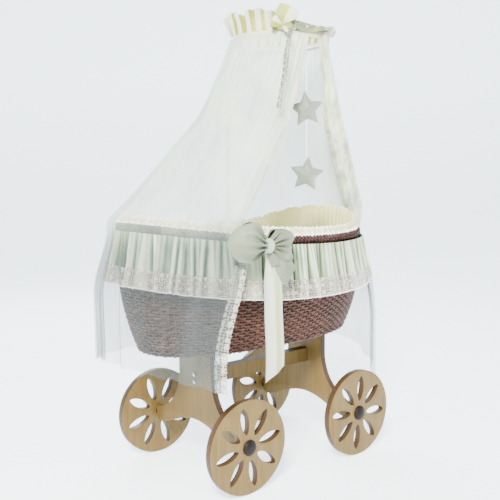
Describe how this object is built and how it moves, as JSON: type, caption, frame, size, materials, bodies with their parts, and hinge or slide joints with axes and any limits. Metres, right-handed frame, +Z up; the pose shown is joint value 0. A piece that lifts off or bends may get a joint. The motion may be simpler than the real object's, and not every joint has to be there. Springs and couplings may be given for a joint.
{
  "type": "bassinet on stand",
  "caption": "Boat-shaped wicker bassinet on an arched plywood stand with wheels, with a tulle canopy, gathered skirt, bows and hanging stars.",
  "frame": {"origin": "on the floor, under the middle of the whole object's box", "axes": "+Z up; X along the basket, -X is the veiled front end; -Y is the side with the bow"},
  "size_m": [0.9849, 0.6624, 1.44],
  "materials": {
    "birch_ply": "clear satin lacquer, darker sawn edges",
    "beech": "plain dowel",
    "zinc_steel": "zinc plated",
    "brown_cap": "dark brown, satin gloss",
    "brown_willow": "stained woven willow",
    "cream_quilt": "quilted cotton",
    "white_cotton": "cotton",
    "sage_cotton": "gathered fine cotton",
    "white_paint": "powder coated",
    "white_plastic": "moulded",
    "lime_satin": "satin",
    "white_lace": "cotton lace",
    "tulle": "sheer net",
    "star_cloth": "silvery sage cloth"
  },
  "bodies": {
    "stand": {"front_panel": "birch_ply", "rear_panel": "birch_ply", "spreader_beam": "birch_ply", "beam_bolt_front_low": "zinc_steel", "beam_bolt_front_high": "zinc_steel", "beam_bolt_rear_low": "zinc_steel", "beam_bolt_rear_high": "zinc_steel", "locating_peg_front": "beech", "locating_peg_rear": "beech", "axle_bolt_front_left": "zinc_steel", "axle_bolt_rear_left": "zinc_steel", "axle_bolt_front_right": "zinc_steel", "axle_bolt_rear_right": "zinc_steel", "spacer_front_left": "brown_cap", "spacer_rear_left": "brown_cap", "spacer_front_right": "brown_cap", "spacer_rear_right": "brown_cap"},
    "wheel_front_left": {"wheel_front_left": "birch_ply", "hub_cap_front_left": "brown_cap"},
    "wheel_rear_left": {"wheel_rear_left": "birch_ply", "hub_cap_rear_left": "brown_cap"},
    "wheel_front_right": {"wheel_front_right": "birch_ply", "hub_cap_front_right": "brown_cap"},
    "wheel_rear_right": {"wheel_rear_right": "birch_ply", "hub_cap_rear_right": "brown_cap"},
    "star_upper": {"star_string": "white_lace", "star_upper": "star_cloth"},
    "star_lower": {"star_tie": "white_lace", "star_lower": "star_cloth"},
    "basket": {"base_board": "birch_ply", "clamp_screw_lower": "zinc_steel", "clamp_screw_upper": "zinc_steel", "basket_shell": "brown_willow", "rim_braid": "brown_willow", "lining": "cream_quilt", "lining_bumper": "cream_quilt", "duvet": "cream_quilt", "pillow": "cream_quilt", "mattress": "white_cotton", "skirt": "sage_cotton", "bow_knot": "sage_cotton", "bow_loop_left": "sage_cotton", "bow_loop_right": "sage_cotton", "bow_tail_long": "sage_cotton", "bow_tail_short": "sage_cotton", "lower_pole": "white_paint", "upper_pole": "white_paint", "canopy_ring": "white_paint", "pole_sleeve": "white_plastic", "pole_clamp_lower": "white_plastic", "pole_clamp_upper": "white_plastic", "ring_ruffle": "lime_satin", "top_bow_knot": "lime_satin", "top_bow_loop": "lime_satin", "top_bow_tails": "lime_satin", "lace_tail": "white_lace", "veil_front": "tulle", "veil_back": "tulle", "veil_rear": "tulle"}
  },
  "joints": [
    {"name": "wheel_front_left_spin", "type": "hinge", "parent": "stand", "child": "wheel_front_left", "pos_m": [-0.2025, -0.2207, 0.13981], "axis": [0, 1, 0], "continuous": true},
    {"name": "wheel_rear_left_spin", "type": "hinge", "parent": "stand", "child": "wheel_rear_left", "pos_m": [0.2645, -0.2207, 0.13981], "axis": [0, 1, 0], "continuous": true},
    {"name": "wheel_front_right_spin", "type": "hinge", "parent": "stand", "child": "wheel_front_right", "pos_m": [-0.2025, 0.2463, 0.13981], "axis": [0, 1, 0], "continuous": true},
    {"name": "wheel_rear_right_spin", "type": "hinge", "parent": "stand", "child": "wheel_rear_right", "pos_m": [0.2645, 0.2463, 0.13981], "axis": [0, 1, 0], "continuous": true},
    {"name": "basket_lift", "type": "slide", "parent": "stand", "child": "basket", "axis": [0, 0, 1], "range_m": [0, 0.15]},
    {"name": "star_swing", "type": "hinge", "parent": "basket", "child": "star_upper", "pos_m": [0.128, -0.13239, 1.33], "axis": [1, 0, 0], "range_deg": [-20, 20]},
    {"name": "lower_star_swing", "type": "hinge", "parent": "star_upper", "child": "star_lower", "pos_m": [0.128, -0.13239, 1.0795], "axis": [1, 0, 0], "range_deg": [-20, 20]}
  ]
}
